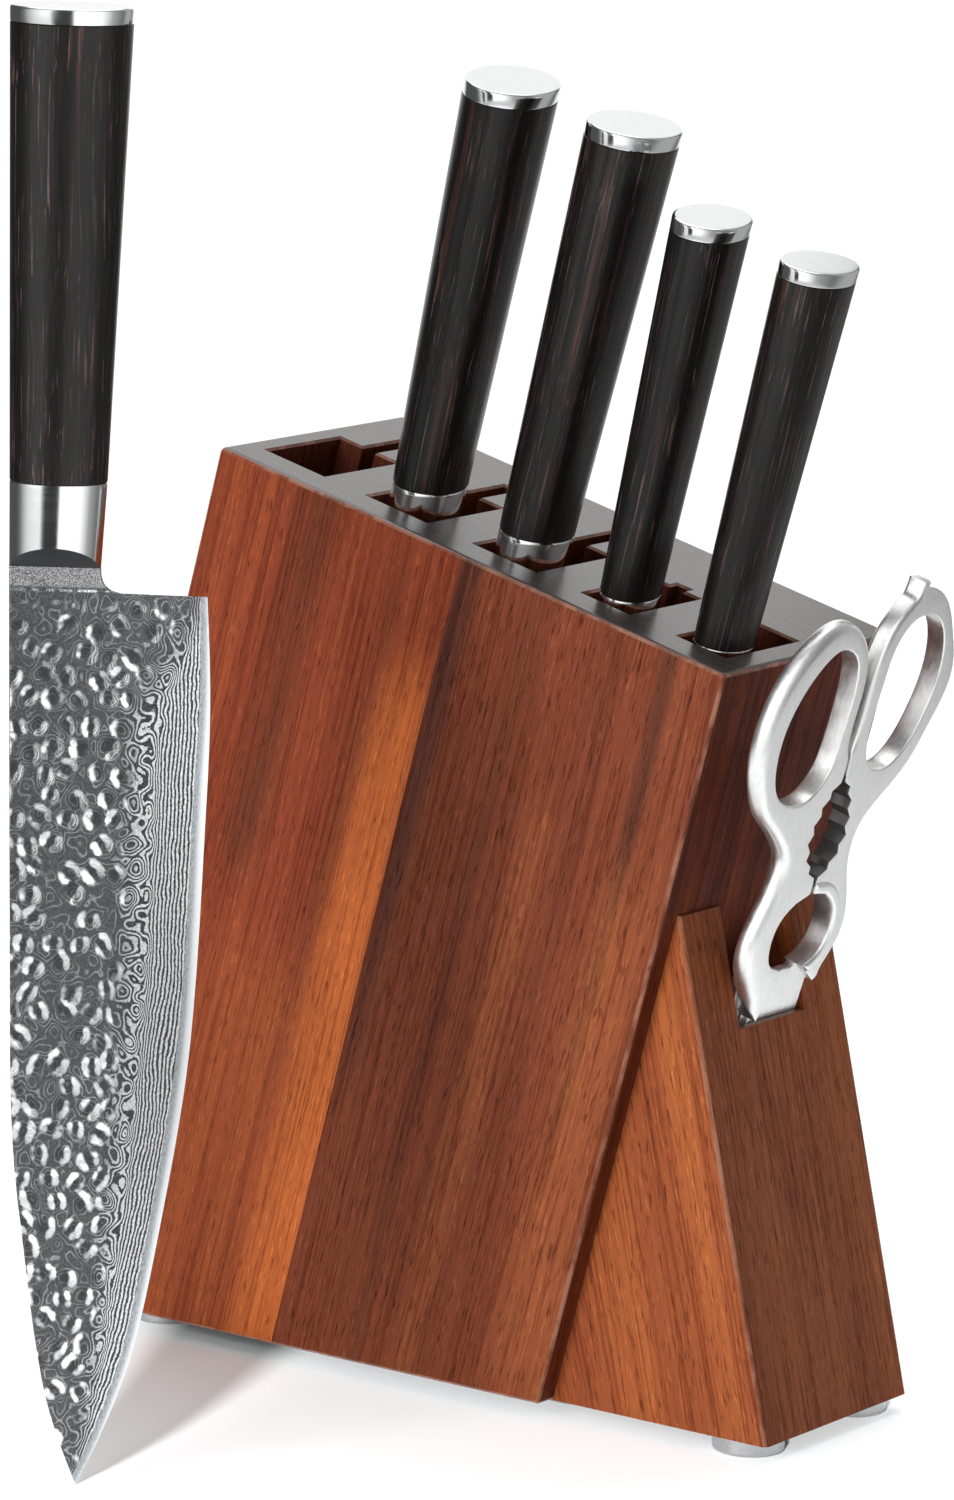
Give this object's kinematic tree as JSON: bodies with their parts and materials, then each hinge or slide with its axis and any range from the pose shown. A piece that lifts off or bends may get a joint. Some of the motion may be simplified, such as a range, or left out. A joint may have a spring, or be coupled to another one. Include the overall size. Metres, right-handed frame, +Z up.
{
  "type": "knife block with knives and shears",
  "caption": "Leaning wooden knife block on a glued stand wedge, with slotted kitchen knives, notched-in shears and a chef's knife standing upright in front.",
  "frame": {"origin": "centre of the four feet, on the surface the feet stand on", "axes": "+Z up; +X towards the side the block leans to, where the shears hang; +Y towards the far side, away from the chef's knife"},
  "size_m": [0.233, 0.2104, 0.3506],
  "materials": {
    "block_wood": "satin dark brown hardwood",
    "wedge_wood": "satin brown hardwood",
    "handle_wood": "polished black-brown laminated hardwood",
    "damascus_steel": "hammered and patterned",
    "blade_steel": "satin",
    "polished_steel": "polished",
    "shears_steel": "light satin",
    "feet_metal": "satin"
  },
  "bodies": {
    "block": {"side_near_back_stave": "block_wood", "side_near_front_stave": "block_wood", "side_far_back_stave": "block_wood", "side_far_front_stave": "block_wood", "core_board_1": "block_wood", "core_board_2": "block_wood", "core_board_3": "block_wood", "core_board_4": "block_wood", "core_board_5": "block_wood", "core_board_6": "block_wood", "base_board": "block_wood", "wedge_stand": "wedge_wood", "feet": "feet_metal"},
    "chef_knife": {"chef_blade": "damascus_steel", "chef_ferrule": "polished_steel", "chef_handle": "handle_wood", "chef_end_cap": "polished_steel"},
    "bread_knife": {"bread_blade": "blade_steel", "bread_ferrule": "polished_steel", "bread_handle": "handle_wood", "bread_end_cap": "polished_steel"},
    "santoku_knife": {"santoku_blade": "blade_steel", "santoku_ferrule": "polished_steel", "santoku_handle": "handle_wood", "santoku_end_cap": "polished_steel"},
    "utility_knife": {"utility_blade": "blade_steel", "utility_ferrule": "polished_steel", "utility_handle": "handle_wood", "utility_end_cap": "polished_steel"},
    "paring_knife": {"paring_blade": "blade_steel", "paring_ferrule": "polished_steel", "paring_handle": "handle_wood", "paring_end_cap": "polished_steel"},
    "shears": {"shears_left_half": "shears_steel", "shears_pivot": "shears_steel"},
    "shears_right_half_body": {"shears_right_half": "shears_steel"}
  },
  "joints": [
    {"name": "chef_knife_lift", "type": "slide", "parent": "block", "child": "chef_knife", "axis": [0, 0, 1], "range_m": [0, 0.12]},
    {"name": "bread_knife_draw", "type": "slide", "parent": "block", "child": "bread_knife", "axis": [0.2414, -0.0671, 0.9681], "range_m": [0, 0.22]},
    {"name": "santoku_knife_draw", "type": "slide", "parent": "block", "child": "santoku_knife", "axis": [0.2419, -0.0175, 0.9701], "range_m": [0, 0.21]},
    {"name": "utility_knife_draw", "type": "slide", "parent": "block", "child": "utility_knife", "axis": [0.2414, -0.0663, 0.9682], "range_m": [0, 0.16]},
    {"name": "paring_knife_draw", "type": "slide", "parent": "block", "child": "paring_knife", "axis": [0.2419, -0.0175, 0.9701], "range_m": [0, 0.13]},
    {"name": "shears_draw", "type": "slide", "parent": "block", "child": "shears", "axis": [0.2635, 0, 0.9646], "range_m": [0, 0.19]},
    {"name": "shears_open", "type": "hinge", "parent": "shears", "child": "shears_right_half_body", "pos_m": [0.07691, 0.0001, 0.09572], "axis": [-0.9646, 0, 0.2635], "range_deg": [0, 4]}
  ]
}
